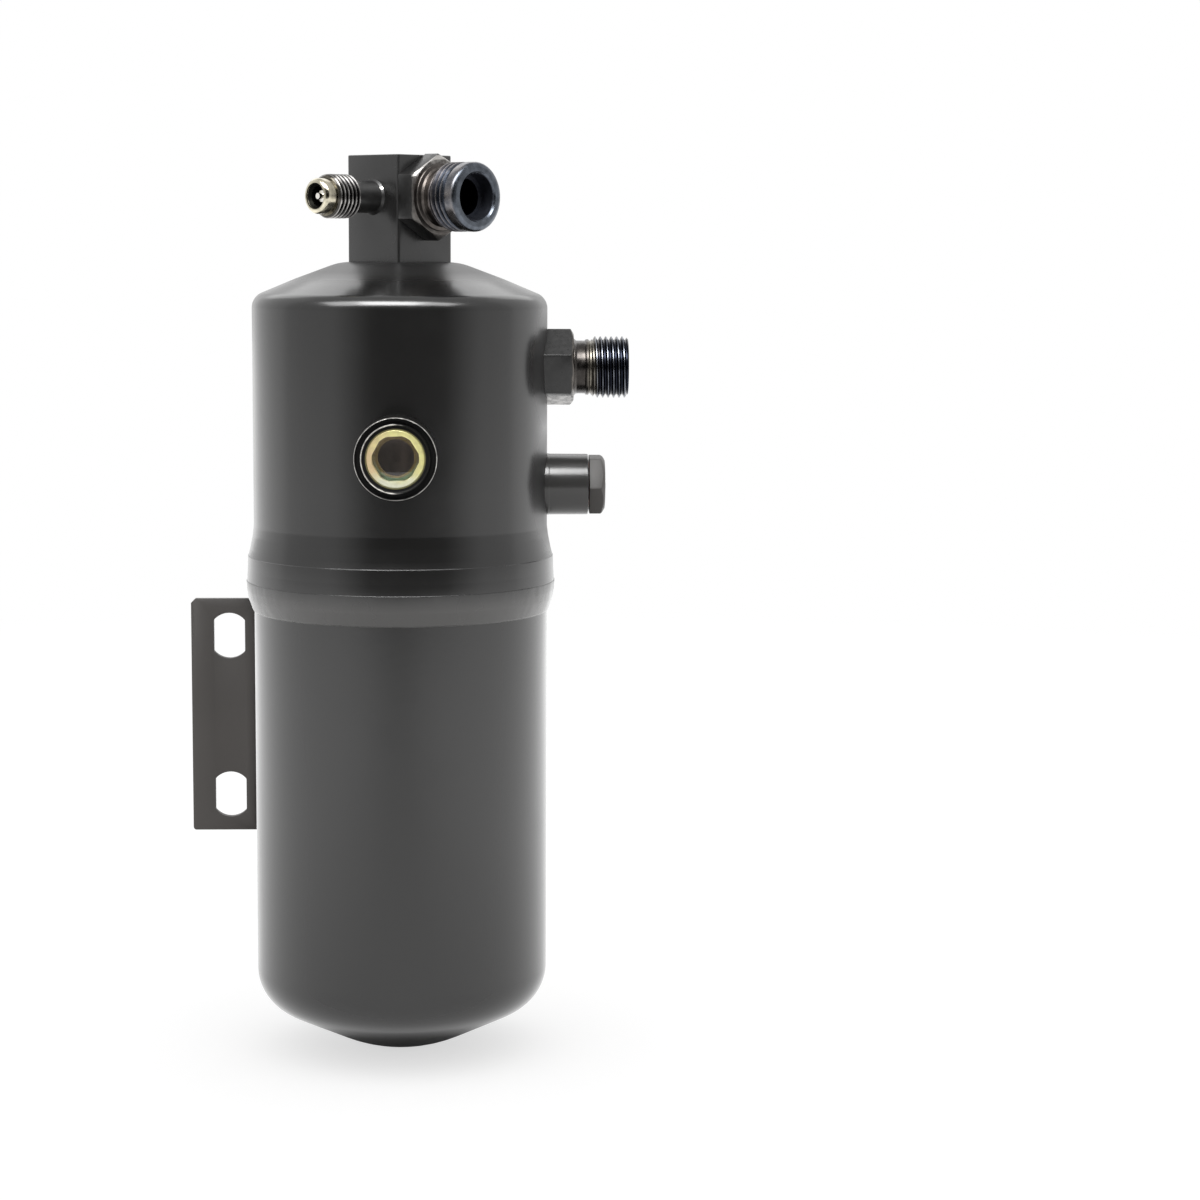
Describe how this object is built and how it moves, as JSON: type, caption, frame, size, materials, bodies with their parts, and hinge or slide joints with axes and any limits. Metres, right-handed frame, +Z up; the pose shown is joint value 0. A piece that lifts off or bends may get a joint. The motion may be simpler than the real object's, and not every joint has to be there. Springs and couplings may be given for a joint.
{
  "type": "receiver drier",
  "caption": "Upright refrigerant receiver drier: two-shell steel vessel with header block, screwed ports, sight glass, relief plug and slotted side bracket.",
  "frame": {"origin": "centre of the bracket's two bolt slots, in the middle of the sheet", "axes": "+Z up along the vessel, -Y to the front, the side the sight glass faces, +X from the bracket to the vessel"},
  "size_m": [0.1136, 0.0902, 0.234],
  "materials": {
    "black_paint": "semi-gloss black enamel",
    "black_paint_lower": "semi-gloss black enamel",
    "weld": "painted weld bead",
    "fitting_steel": "turned steel, dark passivated, paint overspray on the hex",
    "port_steel": "turned steel, bright",
    "valve_metal": "bare",
    "pin_metal": "bright",
    "rubber": "matte",
    "copper": "flat washer, dull",
    "fusible": "cast, dull",
    "gold_ring": "yellow passivated",
    "sight_glass": "clear, greenish",
    "bracket_paint": "semi-gloss black enamel",
    "bare_steel": "plain",
    "spring_steel": "plain",
    "felt": "pressed fibre",
    "desiccant": "packed beads"
  },
  "bodies": {
    "drier": {"upper_shell": "black_paint", "lower_shell": "black_paint_lower", "seam_weld": "weld", "header_block": "black_paint", "outlet_fitting": "fitting_steel", "charge_port": "port_steel", "valve_core_body": "valve_metal", "valve_spring": "spring_steel", "block_plug": "black_paint", "block_plug_seal": "copper", "inlet_fitting": "fitting_steel", "relief_boss": "black_paint", "relief_plug": "black_paint", "relief_plug_seal": "copper", "fusible_core": "fusible", "sight_glass_boss": "black_paint", "sight_glass_seal": "rubber", "sight_glass_lens": "sight_glass", "sight_glass_ring": "gold_ring", "mounting_bracket": "bracket_paint", "pickup_tube": "bare_steel", "pickup_strainer": "bare_steel", "lower_plate": "bare_steel", "lower_filter_pad": "felt", "desiccant_bed": "desiccant", "upper_filter_pad": "felt", "upper_plate": "bare_steel", "retaining_spring": "spring_steel"},
    "valve_pin": {"valve_pin": "pin_metal", "valve_seal": "rubber"}
  },
  "joints": [
    {"name": "valve_press", "type": "slide", "parent": "drier", "child": "valve_pin", "axis": [0.7071, 0.7071, 0], "range_m": [0, 0.0011], "stiffness_N_per_m": 500, "springref_m": -0.002, "deforming": ["valve_spring"]}
  ]
}
